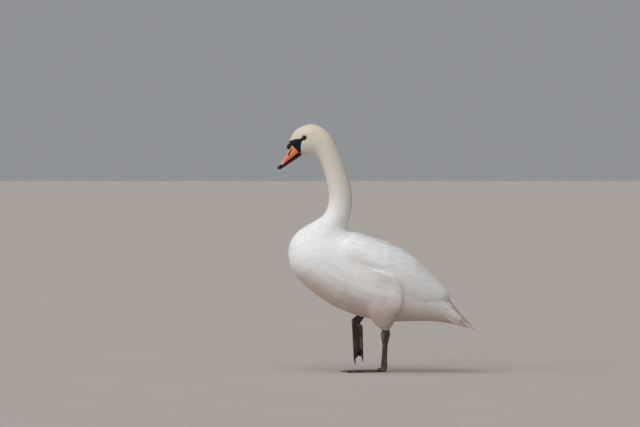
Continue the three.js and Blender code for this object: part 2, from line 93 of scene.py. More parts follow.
class Wire:
    """A socket of a material's nodes. A sum of wires and numbers adds the Math nodes that it needs."""

    def __init__(self, tree, socket):
        self.tree = tree
        self.socket = socket

    def node(self, kind, settings=None, inputs=None, output=0):
        """Any node: its settings first, then the values or wires of its sockets."""
        made = self.tree.nodes.new("ShaderNode" + kind)
        for name, value in (settings or {}).items():
            setattr(made, name, value)
        for name, value in (inputs or {}).items():
            if isinstance(value, Wire):
                self.tree.links.new(value.socket, made.inputs[name])
            else:
                made.inputs[name].default_value = value
        return Wire(self.tree, made.outputs[output])

    def math(self, operation, *others):
        return self.node("Math", {"operation": operation}, dict(enumerate((self, *others))))

    def __add__(self, other):
        return self.math("ADD", other)

    def __sub__(self, other):
        return self.math("SUBTRACT", other)

    def __rsub__(self, other):
        return self.math("MULTIPLY", -1.0) + other

    def __mul__(self, other):
        return self.math("MULTIPLY", other)

    __radd__ = __add__
    __rmul__ = __mul__

    def vector(self, operation, *others, **inputs):
        values = {**dict(enumerate((self, *others))), **inputs}
        output = 1 if operation == "DOT_PRODUCT" else 0
        return self.node("VectorMath", {"operation": operation}, values, output)

    def ramp(self, low, high):
        """0 where this is under low, 1 where it is over high, and smooth between."""
        inputs = {"Value": self, "From Min": low, "From Max": high}
        return self.node("MapRange", {"interpolation_type": "SMOOTHSTEP"}, inputs)

    def mix(self, first, second):
        """The first colour where this is 0 and the second where it is 1."""
        return self.node("Mix", {"data_type": "RGBA"}, {0: self, 6: first, 7: second}, output=2)

    def noise(self, scale, detail=2, **inputs):
        """Noise on this vector."""
        return self.node("TexNoise", {}, {"Vector": self, "Scale": scale, "Detail": detail, **inputs})

    def parts(self):
        """This vector's X, Y and Z."""
        split = self.node("SeparateXYZ", {}, {0: self}).socket.node
        return [Wire(self.tree, socket) for socket in split.outputs]


def new_material(name, **surface):
    """A material with one Principled shader, and the wire of its Object coordinates to begin with."""
    material = bpy.data.materials.new(name)
    material.use_nodes = True
    tree = material.node_tree
    shader = tree.nodes["Principled BSDF"]
    for socket, value in surface.items():
        shader.inputs[socket.replace("_", " ")].default_value = value
    place = tree.nodes.new("ShaderNodeTexCoord").outputs["Object"]
    return material, shader, Wire(tree, place)


def feed(shader, socket, wire):
    """Leads a wire to one of the shader's sockets."""
    wire.tree.links.new(wire.socket, shader.inputs[socket])


def add_relief(shader, height, strength, distance, **inputs):
    """Gives a shader small bumps and hollows of a height."""
    values = {"Strength": strength, "Distance": distance, "Height": height, **inputs}
    feed(shader, "Normal", height.node("Bump", {}, values))


floor_paint, floor_shader, floor_place = new_material("floor_paint", Roughness=0.9, Specular_IOR_Level=0.1)
floor_shade = floor_place.noise(3.0, 3).mix((0.47, 0.415, 0.375, 1), (0.51, 0.455, 0.415, 1))
feed(floor_shader, "Base Color", floor_shade)
floor.data.materials.append(floor_paint)


# ---- skin ----
# Under the feathers is one skin from the brow to the tail's root, over neck, trunk, thighs and folded wings.
# It takes its shape from the solids, melted together, and lies as deep under them as the coat is thick.
def copy_of(name, nodes):
    """One new piece from copies of some nodes."""
    bpy.ops.object.select_all(action="DESELECT")
    for node in nodes:
        frame["nodes"][node].select_set(True)
    bpy.context.view_layer.objects.active = frame["nodes"][nodes[0]]
    bpy.ops.object.duplicate()
    bpy.ops.object.parent_clear(type="CLEAR_KEEP_TRANSFORM")
    bpy.ops.object.join()
    piece = bpy.context.object
    piece.name = name
    piece.data.materials.clear()
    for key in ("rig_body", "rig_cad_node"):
        del piece[key]
    bpy.ops.object.mode_set(mode="EDIT")
    bpy.ops.mesh.select_all(action="SELECT")
    bpy.ops.mesh.remove_doubles(threshold=1e-6)
    bpy.ops.object.mode_set(mode="OBJECT")
    return piece


def apply_modifier(piece, kind, **settings):
    """Adds one modifier with its settings and applies it to the mesh."""
    bpy.context.view_layer.objects.active = piece
    modifier = piece.modifiers.new(kind.lower(), kind)
    for name, value in settings.items():
        setattr(modifier, name, value)
    bpy.ops.object.modifier_apply(modifier=modifier.name)


def melt(piece, voxel, smooth):
    """Makes one closed smooth surface of the solids in a piece."""
    apply_modifier(piece, "REMESH", mode="VOXEL", voxel_size=voxel)
    apply_modifier(piece, "SMOOTH", factor=0.5, iterations=smooth)
    bpy.ops.object.shade_smooth()


def coordinates(mesh):
    """The places of a mesh's points, one row for each."""
    flat = np.empty(len(mesh.vertices) * 3, np.float32)
    mesh.vertices.foreach_get("co", flat)
    return flat.reshape(-1, 3).astype(float)


def smooth_step(value, low, high):
    """0 where a value is under low, 1 where it is over high, and smooth between."""
    share = np.clip((value - low) / (high - low), 0, 1)
    return share * share * (3 - 2 * share)


SKIN_NODES = [
    "head", "neck_upper", "neck_middle", "neck_lower", "trunk", "tail",
    "thigh_left", "thigh_right", "wing_left", "wing_right",
]
skin = copy_of("skin", SKIN_NODES)
lores = copy_of("lores", ["head"])
bpy.context.view_layer.objects.active = skin
melt(skin, 0.003, 10)

# Downy feathers hide the wing's front edge, and the flank's feathers swell over its lower edge down to the
# thigh. So the skin is evened out along the front edge, and it stands proud of the wing up to the line where
# the flank's feathers end.
WING_FOLD = [
    (-0.098, 0.442), (-0.112, 0.420), (-0.125, 0.400), (-0.112, 0.372), (-0.060, 0.342), (-0.020, 0.318),
    (0.030, 0.290), (0.070, 0.266),
]
FOLD_REACH = (0.012, 0.036)
FOLD_ROUNDS = 240
FLANK_END = [
    (-0.060, 0.342), (-0.0195, 0.326), (0.020, 0.316), (0.048, 0.306), (0.068, 0.288), (0.080, 0.262),
    (0.082, 0.230), (0.074, 0.198), (0.058, 0.178),
]
FLANK_SWELL = 0.0075
FLANK_FRONT = -0.060
FULL_SWELL_FROM = 0.020
SWELL_EDGE = (-0.002, 0.005)
SWELL_FADE = (0.010, 0.055)
SWELL_FACING = (0.2, 0.6)


def line_distance(points, line):
    """How far points are from a line of (y, z) corners, seen from the side, and on which side of it."""
    best = np.full(len(points), 9.0)
    side = np.zeros(len(points))
    for start, end in zip(np.array(line[:-1]), np.array(line[1:])):
        run = end - start
        from_start = points[:, 1:] - start
        share = np.clip(from_start @ run / (run @ run), 0, 1)
        off = from_start - share[:, None] * run
        gap = np.linalg.norm(off, axis=1)
        nearer = gap < best
        best[nearer] = gap[nearer]
        side[nearer] = np.sign(run[0] * from_start[:, 1] - run[1] * from_start[:, 0])[nearer]
    return best, side


def weigh(piece, name, weights):
    """Adds a vertex group with a weight for each point."""
    group = piece.vertex_groups.new(name=name)
    for i in np.flatnonzero(weights > 0.001):
        group.add([int(i)], float(weights[i]), "REPLACE")


places = coordinates(skin.data)
fold_gap, _ = line_distance(places, WING_FOLD)
weigh(skin, "fold", 1 - smooth_step(fold_gap, *FOLD_REACH))
apply_modifier(skin, "SMOOTH", factor=0.5, iterations=FOLD_ROUNDS, vertex_group="fold")
places = coordinates(skin.data)
outward = np.abs([v.normal.x for v in skin.data.vertices])
end_gap, end_side = line_distance(places, FLANK_END)
swell = smooth_step(-end_gap * end_side, *SWELL_EDGE) * (1 - smooth_step(end_gap, *SWELL_FADE))
swell *= smooth_step(outward, *SWELL_FACING) * smooth_step(places[:, 1], FLANK_FRONT, FULL_SWELL_FROM)
weigh(skin, "swell", swell)
apply_modifier(skin, "DISPLACE", strength=FLANK_SWELL, mid_level=0, vertex_group="swell")

# How deep the skin lies: a little at the face, more down the neck, most on the body, and less at the tail.
FACE_DEPTH = 0.0012
NECK_DEPTH = 0.0022
BODY_DEPTH = 0.0042
FACE_TO_NECK = (-0.70, -0.64)
NECK_TO_BODY = (-0.52, -0.44)
BODY_TO_TAIL = (0.23, 0.29)
LESS_AT_TAIL = 0.8
places = coordinates(skin.data)
downwards = -places[:, 2]
depth = FACE_DEPTH + (NECK_DEPTH - FACE_DEPTH) * smooth_step(downwards, *FACE_TO_NECK)
depth += (BODY_DEPTH - NECK_DEPTH) * smooth_step(downwards, *NECK_TO_BODY)
depth *= 1 - LESS_AT_TAIL * smooth_step(places[:, 1], *BODY_TO_TAIL)
weigh(skin, "depth", depth / BODY_DEPTH)
apply_modifier(skin, "DISPLACE", strength=-BODY_DEPTH, mid_level=0, vertex_group="depth")
apply_modifier(skin, "SMOOTH", factor=0.5, iterations=4)
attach(skin, "root")
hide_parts(*SKIN_NODES)

# ---- plumage ----
# The feathers are white, with cream on the neck that deepens to buff on the crown, a grey fleck in the neck,
# and a faint rust on the breast where water stains it. The underside carries painted shade, darker and
# warmer.
# Skin and coat share these markings.
WHITE = (0.88, 0.88, 0.875, 1)
SHADED = (0.58, 0.455, 0.385, 1)
CREAM = (0.84, 0.775, 0.675, 1)
BUFF = (0.90, 0.79, 0.60, 1)
FLECK = (0.66, 0.61, 0.54, 1)
RUST = (0.55, 0.36, 0.24, 1)
WORN = (0.62, 0.60, 0.58, 1)
CREAM_HEIGHTS = (0.46, 0.62)
BUFF_HEIGHTS = (0.715, 0.765)
BELLY_SHADE_HEIGHTS = (0.195, 0.290)
FLECK_FROM = (0.50, 0.58)
FLECK_TO = (0.68, 0.72)
RUST_UP_TO = (0.30, 0.38)
RUST_BACK_TO = (-0.12, 0.02)
BARBS = 270.0
VANE_UNIT = 0.03
SOFTNESS = 4.0


def plumage(name, vaned):
    """The feathers' finish. vaned adds barbs and shafts, and shades each vane softly like the skin."""
    material, shader, place = new_material(name, Roughness=0.8, Specular_IOR_Level=0.25, Sheen_Weight=0.15)
    _, y, z = place.parts()
    wander = place.noise(9.0, 3) * 0.10
    colour = (z + wander - 0.05).ramp(*CREAM_HEIGHTS).mix(WHITE, CREAM)
    fleck = place.noise(260.0, 3).ramp(0.52, 0.66) * z.ramp(*FLECK_FROM) * (1 - z.ramp(*FLECK_TO))
    colour = (fleck * 0.55).mix(colour, FLECK)
    crown = (z + wander * 0.3).ramp(*BUFF_HEIGHTS)
    colour = (crown * 0.75).mix(colour, BUFF)
    # Painted shade: the underside turns darker and warmer, lowest on the belly.
    over_belly = z + y.math("MINIMUM", 0.0) * 0.4 + y.math("MAXIMUM", 0.0) * 0.1
    belly_shade = 1 - (over_belly + wander * 0.5).ramp(*BELLY_SHADE_HEIGHTS)
    colour = (belly_shade * 0.9).mix(colour, SHADED)
    stain = place.noise(14.0, 4).ramp(0.55, 0.75) * place.noise(160.0, 2).ramp(0.45, 0.7)
    stain = stain * (1 - z.ramp(*RUST_UP_TO)) * (1 - y.ramp(*RUST_BACK_TO))
    colour = (stain * 0.35).mix(colour, RUST)
    if vaned:
        tone = place.node("Attribute", {"attribute_name": "tone"}, output=2)
        colour = (tone * tone * 0.24).mix(colour, WORN)
        along, across, _ = place.node("UVMap", {"uv_map": "vane"}).parts()
        side = across.math("ABSOLUTE")
        barbs = ((along + side * 0.6) * BARBS).math("SINE")
        shaft = 1 - side.ramp(0.010, 0.030)
        facing = place.node("NewGeometry", output=3)
        under = place.node("Attribute", {"attribute_name": "under"}, output=1)
        same_way = (facing.vector("DOT_PRODUCT", under) + 0.4).math("SIGN")
        soft = facing.vector("ADD", under.vector("SCALE", Scale=same_way * SOFTNESS)).vector("NORMALIZE")
        add_relief(shader, barbs * 0.25 + shaft * 1.5, 0.25, 0.0003, Normal=soft)
    feed(shader, "Base Color", colour)
    return material


skin.data.materials.append(plumage("plumage_skin", vaned=False))


# ---- lie of the coat ----
# Feathers point down the neck and back along the body. The line through the middle of the bird gives their
# direction, and on each wing they run to its tip, on each thigh down to the leg.
SPINE = [
    (-0.265, 0.680), (-0.240, 0.708), (-0.217, 0.720), (-0.196, 0.724), (-0.177, 0.716), (-0.160, 0.699),
    (-0.146, 0.670), (-0.130, 0.630), (-0.118, 0.590), (-0.111, 0.548), (-0.115, 0.508), (-0.134, 0.466),
    (-0.170, 0.420), (-0.165, 0.390), (-0.148, 0.352), (-0.110, 0.325), (-0.066, 0.303), (-0.013, 0.282),
    (0.037, 0.265), (0.083, 0.250), (0.127, 0.236), (0.169, 0.219), (0.231, 0.190), (0.308, 0.128),
]
WING_TIP = (0.012, 0.262, 0.214)
LEG_TOPS = {"thigh_left": (0.024, 0.034, 0.085), "thigh_right": (-0.055, -0.055, 0.13)}
FLANK_OVERLAP = 0.05
EVENING_ROUNDS = 12

skin_places = coordinates(skin.data)
skin_normals = np.array([v.normal[:] for v in skin.data.vertices])
skin_edges = np.array([e.vertices[:] for e in skin.data.edges])


def unit(vectors):
    """The vectors at a length of one."""
    return vectors / np.maximum(np.linalg.norm(vectors, axis=-1, keepdims=True), 1e-9)


def spread(values, rounds):
    """Evens out a value over neighbouring points of the skin."""
    one, two = skin_edges.T
    count = np.bincount(one, minlength=len(values)) + np.bincount(two, minlength=len(values)) + 1
    for _ in range(rounds):
        total = values.copy()
        for axis in range(values.shape[1]):
            total[:, axis] += np.bincount(one, values[two, axis], len(values))
            total[:, axis] += np.bincount(two, values[one, axis], len(values))
        values = total / count[:, None]
    return values


def nearest_node(points, nodes):
    """For each point, which of the nodes' solids it lies nearest to, and how far from it."""
    best = np.full(len(points), 9.0)
    index = np.zeros(len(points), int)
    for k, node in enumerate(nodes):
        solid = frame["nodes"][node].data
        tree = BVHTree.FromPolygons([v.co for v in solid.vertices], [p.vertices for p in solid.polygons])
        for i, point in enumerate(points):
            hit = tree.find_nearest(point, best[i])
            if hit[0] is not None and hit[3] < best[i]:
                best[i] = hit[3]
                index[i] = k
    return index, best


# A point's station is how far along the spine it lies from the bill, and the spine's run there is its flow.
spine = np.array(SPINE)
steps = spine[1:] - spine[:-1]
side_on = skin_places[:, None, 1:] - spine[None, :-1]
share = np.clip((side_on * steps).sum(2) / (steps**2).sum(1), 0, 1)
gap = np.linalg.norm(side_on - share[..., None] * steps, axis=2)
closest = gap.argmin(1)
share = share[np.arange(len(closest)), closest]
lengths = np.linalg.norm(steps, axis=1)
station = (np.cumsum(lengths) - lengths)[closest] + share * lengths[closest]
flow = np.zeros_like(skin_places)
flow[:, 1:] = (steps / lengths[:, None])[closest]

# A point's owner is the node that it lies nearest to, but where the flank's feathers cover the wing it is
# the trunk. On the wings and thighs the flow runs to their ends instead of along the spine.
owner, _ = nearest_node(skin_places, SKIN_NODES)
end_gap, end_side = line_distance(skin_places, FLANK_END)
on_flank = (end_side < 0) & (end_gap < FLANK_OVERLAP) & (skin_places[:, 1] > FLANK_FRONT)


def owned_by(*nodes):
    """Which of the skin's points belong to the nodes."""
    return np.isin(owner, [SKIN_NODES.index(node) for node in nodes])


owner[on_flank & owned_by("wing_left", "wing_right")] = SKIN_NODES.index("trunk")
on_wing = owned_by("wing_left", "wing_right")
wing_tips = np.where(skin_places[:, :1] > 0, WING_TIP, (-WING_TIP[0], WING_TIP[1], WING_TIP[2]))
flow[on_wing] = unit(wing_tips - skin_places)[on_wing]
for node, top in LEG_TOPS.items():
    flow[owned_by(node)] = unit(np.array(top) - skin_places)[owned_by(node)]
flow = spread(flow, EVENING_ROUNDS)
flow -= (flow * skin_normals).sum(1, keepdims=True) * skin_normals
flow = unit(flow)

# ---- one tuft and one vane ----
# Each small feather of the head and neck is a copy of one tuft, a thin ridged leaf. Each contour feather is
# a copy of one vane, an oval plate cupped over the body. Both lie along +X, one unit long and one unit wide.
def shape_rows(piece, widths, cup, bow):
    """Narrows each row across a grid to its width, lifts its middle and draws its sides back."""
    rows = sorted({round(v.co.x, 4) for v in piece.data.vertices})
    for row, width in zip(rows, widths):
        bpy.ops.object.mode_set(mode="EDIT")
        bpy.ops.mesh.select_all(action="DESELECT")
        bpy.ops.object.mode_set(mode="OBJECT")
        for v in piece.data.vertices:
            v.select = abs(v.co.x - row) < 1e-3
        bpy.ops.object.mode_set(mode="EDIT")
        bpy.ops.transform.resize(value=(1, width, 1), center_override=(row, 0, 0))
    bpy.ops.object.mode_set(mode="OBJECT")
    for v in piece.data.vertices:
        v.co.z += cup * (0.25 - v.co.y**2)
        v.co.x -= bow * v.co.x * v.co.y**2


class Feather:
    """A modelled feather as arrays: points, faces and which faces are smooth. The piece itself goes."""

    def __init__(self, piece):
        self.points = coordinates(piece.data)
        self.faces = [tuple(p.vertices) for p in piece.data.polygons]
        self.smooth = np.array([p.normal.z > 0.5 for p in piece.data.polygons])
        bpy.data.objects.remove(piece)


bpy.ops.object.select_all(action="DESELECT")
upright = (math.radians(90), 0, math.radians(90))
bpy.ops.mesh.primitive_circle_add(vertices=3, radius=0.5, fill_type="NGON", rotation=upright)
bpy.ops.object.transform_apply(location=False, rotation=True, scale=False)
bpy.ops.object.mode_set(mode="EDIT")
bpy.ops.mesh.select_all(action="SELECT")
bpy.ops.transform.resize(value=(1, 0.55, 0.20))
for reach, swell in [(0.35, 2.0), (0.40, 0.75)]:
    bpy.ops.mesh.extrude_region_move(TRANSFORM_OT_translate={"value": (reach, 0, 0)})
    bpy.ops.transform.resize(value=(1, swell, swell))
bpy.ops.mesh.extrude_region_move(TRANSFORM_OT_translate={"value": (0.25, 0, 0)})
bpy.ops.mesh.merge(type="CENTER")
bpy.ops.mesh.select_all(action="SELECT")
bpy.ops.mesh.normals_make_consistent(inside=False)
bpy.ops.object.mode_set(mode="OBJECT")
tuft = Feather(bpy.context.object)


def modelled_vane(rows, columns, widths, cup, bow, thickness):
    """A thin cupped plate with a width for each of its rows from root to tip."""
    bpy.ops.object.select_all(action="DESELECT")
    middle = (0.5, 0, 0)
    bpy.ops.mesh.primitive_grid_add(x_subdivisions=rows, y_subdivisions=columns, size=1, location=middle)
    bpy.ops.object.transform_apply(location=True, rotation=False, scale=False)
    piece = bpy.context.object
    shape_rows(piece, widths, cup, bow)
    apply_modifier(piece, "SOLIDIFY", thickness=thickness, offset=-1)
    return Feather(piece)


vane = modelled_vane(5, 4, [0.30, 0.70, 0.95, 1.0, 0.86, 0.48], 0.02, 0.9, 0.009)


# ---- roots ----
# A feather grows from a root in the skin. The roots are scattered at random, and those of one tract keep a
# distance set by the feathers' size there, so that they cover the skin evenly without lying in lines.
ROOTS_TRIED = 3.5
CLOSEST_ROOTS = 0.82
bpy.context.view_layer.objects.active = skin
skin.select_set(True)
bpy.ops.object.mode_set(mode="EDIT")
bpy.ops.mesh.select_all(action="SELECT")
bpy.ops.uv.smart_project(angle_limit=math.radians(70), island_margin=0.002)
bpy.ops.object.mode_set(mode="OBJECT")
skin.data.calc_loop_triangles()
tri_points = np.array([t.vertices[:] for t in skin.data.loop_triangles])
tri_loops = np.array([t.loops[:] for t in skin.data.loop_triangles])
loop_uvs = np.empty(len(skin.data.loops) * 2, np.float32)
skin.data.uv_layers.active.data.foreach_get("uv", loop_uvs)
loop_uvs = loop_uvs.reshape(-1, 2).astype(float)
corners = skin_places[tri_points]
tri_area = np.linalg.norm(np.cross(corners[:, 1] - corners[:, 0], corners[:, 2] - corners[:, 0]), axis=1) / 2
skin_tree = BVHTree.FromPolygons(skin_places.tolist(), tri_points.tolist())


class Roots:
    """A tract's root points, with the skin's normal, lie, spacing, depth and place on the unwrap at each."""

    def __init__(self, inside, seed):
        self.random = np.random.default_rng(seed)
        chosen = np.flatnonzero(inside[tri_points[:, 0]])
        wanted = tri_area[chosen] / spacing[tri_points[chosen, 0]] ** 2 * ROOTS_TRIED
        picked = np.repeat(chosen, self.random.poisson(wanted))
        self.picked = picked[self.random.permutation(len(picked))]
        self.weights = self.random.dirichlet((1, 1, 1), len(picked))
        points = self.read(skin_places)
        reach = self.read(spacing) * CLOSEST_ROOTS
        tree = KDTree(len(points))
        for i, point in enumerate(points):
            tree.insert(point, i)
        tree.balance()
        kept = np.ones(len(points), bool)
        # Of two roots that are too close, the later one goes.
        for i in range(len(points)):
            if kept[i]:
                for _, j, _ in tree.find_range(points[i], reach[i]):
                    kept[j] = kept[j] and j <= i
        self.weights = self.weights[kept]
        self.picked = self.picked[kept]
        self.points = points[kept]
        self.normals = unit(self.read(skin_normals))
        self.flow = unit(self.read(flow))
        self.spacing = self.read(spacing)
        self.depth = self.read(depth)
        self.unwrap = (loop_uvs[tri_loops[self.picked]] * self.weights[..., None]).sum(1)

    def read(self, values):
        """A value of the skin's points at each root, between the three corners of its triangle."""
        return np.einsum("rc,rc...->r...", self.weights, values[tri_points[self.picked]])


# ---- coat ----
# The coat is thin stiff feathers, each rising from its root to the coat's surface. The head and neck are
# dense with tiny tufts, and the body's vanes overlap like shingles into one smooth, slightly ruffled sheet.
PIECE_LIMIT = 180000
ROOT_SHARE = 0.25
TURN = 0.10
SHINGLE = 0.022
RUFFLES = 22
RUFFLE_DEPTH = 0.22
STEEP_RISE = 0.86
SLOW_RISE = 0.14
PATCH_SIZE = 0.003
coat_finish = plumage("plumage_coat", vaned=True)


def on_the_skin(points):
    """The nearest points of the skin and its smooth normals there."""
    found = [skin_tree.find_nearest(point) for point in points.reshape(-1, 3)]
    hits = np.array([hit for hit, _, _, _ in found])
    tri = tri_points[[index for _, _, index, _ in found]]
    ends = skin_places[tri]
    to_ends = ends - hits[:, None]
    opposite = np.cross(to_ends[:, (1, 2, 0)], to_ends[:, (2, 0, 1)])
    share = np.linalg.norm(opposite, axis=2)
    normals = unit((share[..., None] * skin_normals[tri]).sum(1))
    return hits.reshape(points.shape), normals.reshape(points.shape)


def coat(name, roots, feather, long, wide, thick, slot):
    """A tract's feathers, in a left and a right mesh if they are many. They are long and wide in spacings of
    the roots, and thick in widths. Vanes are bent to the skin, and the short tufts stay straight."""
    count = len(roots.points)
    draw = roots.random
    turn = draw.normal(0, TURN, count)
    across = np.cross(roots.normals, roots.flow)
    lie = roots.flow * np.cos(turn)[:, None] + across * np.sin(turn)[:, None]
    across = np.cross(roots.normals, lie)
    length = roots.spacing * long * draw.uniform(0.88, 1.12, count)
    width = roots.spacing * wide * draw.uniform(0.90, 1.10, count)
    u, v, w = feather.points.T
    along = (length[:, None] * (u - ROOT_SHARE))[..., None] * lie[:, None]
    placed = roots.points[:, None] + along + (width[:, None] * v)[..., None] * across[:, None]
    up = np.repeat(roots.normals[:, None], len(u), axis=1)
    if feather is vane:
        placed, up = on_the_skin(placed)
    ruffle = np.array([noise.noise(Vector(point) * RUFFLES) for point in roots.points])
    sunk = RUFFLE_DEPTH * np.clip(ruffle, -0.2, 1)
    height = roots.depth * (0.95 - sunk + draw.uniform(-0.01, 0.01, count))
    # Each feather leaves the skin steeply, then runs along the coat's surface with one side lower, under the
    # next feather.
    shingle = (-SHINGLE * np.sign(roots.points[:, 0]) * width)[:, None] * v
    rise = shingle + height[:, None] * (STEEP_RISE * (1 - np.clip(1 - u, 0, 1) ** 5) + SLOW_RISE * u)
    placed += up * (rise + (thick * width)[:, None] * w)[..., None]
    halves = {name: np.ones(count, bool)}
    if count * len(feather.faces) * 2 > PIECE_LIMIT:
        halves = {name + "_left": roots.points[:, 0] > 0, name + "_right": roots.points[:, 0] <= 0}
    for word, half in halves.items():
        sizes = (length[half], width[half])
        feather_mesh(word, placed[half], up[half], feather, roots.unwrap[half], sizes, count)


def feather_mesh(name, placed, up, feather, unwrap, sizes, seed):
    """One piece of a feather's placed copies, each with its tone, the skin's normal under it and UV maps."""
    count, size = placed.shape[:2]
    corner_counts = np.array([len(face) for face in feather.faces])
    loops = np.concatenate([np.array(face) for face in feather.faces])
    starts = np.concatenate([[0], np.cumsum(corner_counts)[:-1]])
    mesh = bpy.data.meshes.new(name)
    mesh.vertices.add(count * size)
    mesh.vertices.foreach_set("co", placed.ravel())
    mesh.loops.add(count * len(loops))
    mesh.loops.foreach_set("vertex_index", (loops + np.arange(count)[:, None] * size).ravel())
    mesh.polygons.add(count * len(corner_counts))
    mesh.polygons.foreach_set("loop_start", (starts + np.arange(count)[:, None] * len(loops)).ravel())
    mesh.polygons.foreach_set("use_smooth", np.tile(feather.smooth, count))
    mesh.update(calc_edges=True)
    edge_of_corner = np.empty(len(mesh.loops), np.int32)
    mesh.loops.foreach_get("edge_index", edge_of_corner)
    sharp = np.zeros(len(mesh.edges), bool)
    sharp[edge_of_corner[np.tile(np.repeat(~feather.smooth, corner_counts), count)]] = True
    mesh.edges.foreach_set("use_edge_sharp", sharp)
    bake = mesh.uv_layers.new(name="OFBake")
    patch = (feather.points[loops, :2] - (0.5, 0)) * PATCH_SIZE
    bake.data.foreach_set("uv", (unwrap[:, None] + patch).ravel())
    along = mesh.uv_layers.new(name="vane")
    real_size = np.stack(sizes, axis=1)[:, None] / VANE_UNIT
    along.data.foreach_set("uv", (feather.points[loops, :2] * real_size).ravel())
    tone = mesh.attributes.new("tone", "FLOAT", "POINT")
    tones = np.random.default_rng(seed).uniform(0, 1, count)
    tone.data.foreach_set("value", np.repeat(tones, size))
    under = mesh.attributes.new("under", "FLOAT_VECTOR", "POINT")
    under.data.foreach_set("vector", up.ravel())
    piece = bpy.data.objects.new(name, mesh)
    bpy.context.collection.objects.link(piece)
    mesh.materials.append(coat_finish)
    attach(piece, "root")
    return piece


# The distance between roots grows from the bill to the tail, and down each wing from its shoulder.
STATIONS = [0.00, 0.05, 0.12, 0.25, 0.33, 0.40, 0.46, 0.55, 0.75, 1.0]
SIZES = [0.0012, 0.0013, 0.0015, 0.0019, 0.0027, 0.0040, 0.0055, 0.0070, 0.0085, 0.0090]
SHOULDER = (0, -0.11, 0.40)
WING_STATIONS = [0.0, 0.10, 0.20, 0.30, 0.42]
WING_SIZES = [0.0060, 0.0080, 0.0110, 0.0140, 0.0160]
SIZE_ON_THIGH = 0.0055
TUFTS_UP_TO = 0.0029
down_wing = np.linalg.norm(skin_places - SHOULDER, axis=1)
size_on_wing = np.interp(down_wing, WING_STATIONS, WING_SIZES)
spacing = np.where(on_wing, size_on_wing, np.interp(station, STATIONS, SIZES))
on_thigh = owned_by("thigh_left", "thigh_right")
spacing = np.where(on_thigh, SIZE_ON_THIGH, spacing)
spacing = spread(spacing[:, None], EVENING_ROUNDS)[:, 0]
fine_neck = owned_by("neck_middle", "neck_lower") & (spacing < TUFTS_UP_TO)

# The tail's fleshy root is cut off along a slant, where the coverts end above and below the quills.
TAIL_CUT = (0, 0.240, 0.200)
TAIL_CUT_FACE = (0, 0.963, 0.268)
CUT_MARGIN = 0.002
RUMP_START = 0.200
VENT = 0.150
BREAST_END = -0.060
before_cut = (skin_places - TAIL_CUT) @ np.array(TAIL_CUT_FACE) < -CUT_MARGIN
rump = (skin_places[:, 1] > RUMP_START) & (skin_normals[:, 2] > 0.3)
under_tail = before_cut & (skin_places[:, 1] > VENT) & owned_by("trunk", "tail") & ~rump
front = skin_places[:, 1] < BREAST_END
on_body = before_cut & owned_by("trunk", "tail") & ~under_tail

# Feathers stop at the naked skin of the lores, an outline of (y, z) corners from the side, and at the eyes.
LORES = [
    (-0.285, 0.716), (-0.2703, 0.7149), (-0.2619, 0.7189), (-0.2501, 0.7220), (-0.2384, 0.7231),
    (-0.2312, 0.7254), (-0.2263, 0.7300), (-0.2222, 0.7325), (-0.2165, 0.7300), (-0.2160, 0.7240),
    (-0.2200, 0.7190), (-0.2260, 0.7185), (-0.2312, 0.7124), (-0.2328, 0.7040), (-0.2334, 0.6922),
    (-0.2322, 0.6863), (-0.2346, 0.6780), (-0.262, 0.640), (-0.285, 0.660),
]
EYE = (0.0235, -0.2225, 0.7265)
EYE_RADIUS = 0.0065
EYE_OPENING = 0.0062


def inside_outline(outline, points):
    """Which points lie inside an outline of (y, z) corners, seen from the side."""
    y, z = points[:, 1], points[:, 2]
    crossed = np.zeros(len(points), bool)
    for (y1, z1), (y2, z2) in zip(outline, outline[1:] + outline[:1]):
        between = (z1 > z) != (z2 > z)
        crossed ^= between & (y < y1 + (z - z1) / (z2 - z1 + 1e-12) * (y2 - y1))
    return crossed


mirrored = np.abs(skin_places) * (1, 0, 0) + skin_places * (0, 1, 1)
round_eye = np.linalg.norm(mirrored - EYE, axis=1) < EYE_OPENING
feathered = ~inside_outline(LORES, skin_places) & ~round_eye

# Each tract with its feather, how long and wide it is in spacings of the roots, its thickness and its slot.
HEAD = (tuft, 4.6, 1.25, 0.16, "cream_plumage")
UPPER_NECK = (tuft, 4.8, 1.3, 0.16, "cream_plumage")
LOWER_NECK = (vane, 3.4, 1.9, 0.7, "cream_plumage")
BODY = (vane, 4.4, 1.85, 0.7, "white_plumage")
UNDER_TAIL = (vane, 5.0, 1.6, 0.7, "white_plumage")
THIGH = (vane, 4.2, 1.6, 0.7, "white_plumage")
WING = (vane, 4.0, 1.95, 0.7, "white_plumage")
tracts = {
    "coat_head": (owned_by("head") & feathered, HEAD),
    "coat_neck_upper": (owned_by("neck_upper") | fine_neck, UPPER_NECK),
    "coat_neck_lower": (owned_by("neck_middle", "neck_lower") & ~fine_neck, LOWER_NECK),
    "coat_breast": (on_body & front, BODY),
    "coat_rear": (on_body & ~front, BODY),
    "coat_tail": (under_tail, UNDER_TAIL),
    "coat_thighs": (on_thigh, THIGH),
    "coat_wing_left": (owned_by("wing_left") & before_cut, WING),
    "coat_wing_right": (owned_by("wing_right") & before_cut, WING),
}
for seed, (name, (inside, style)) in enumerate(tracts.items()):
    coat(name, Roots(inside, seed), *style)

# The skin itself ends in a flat face at the slant, and the tail's quills reach out beyond it.
bpy.ops.object.select_all(action="DESELECT")
bpy.context.view_layer.objects.active = skin
skin.select_set(True)
bpy.ops.object.mode_set(mode="EDIT")
bpy.ops.mesh.select_all(action="SELECT")
bpy.ops.mesh.bisect(plane_co=TAIL_CUT, plane_no=TAIL_CUT_FACE, clear_outer=True, use_fill=True)
bpy.ops.object.mode_set(mode="OBJECT")


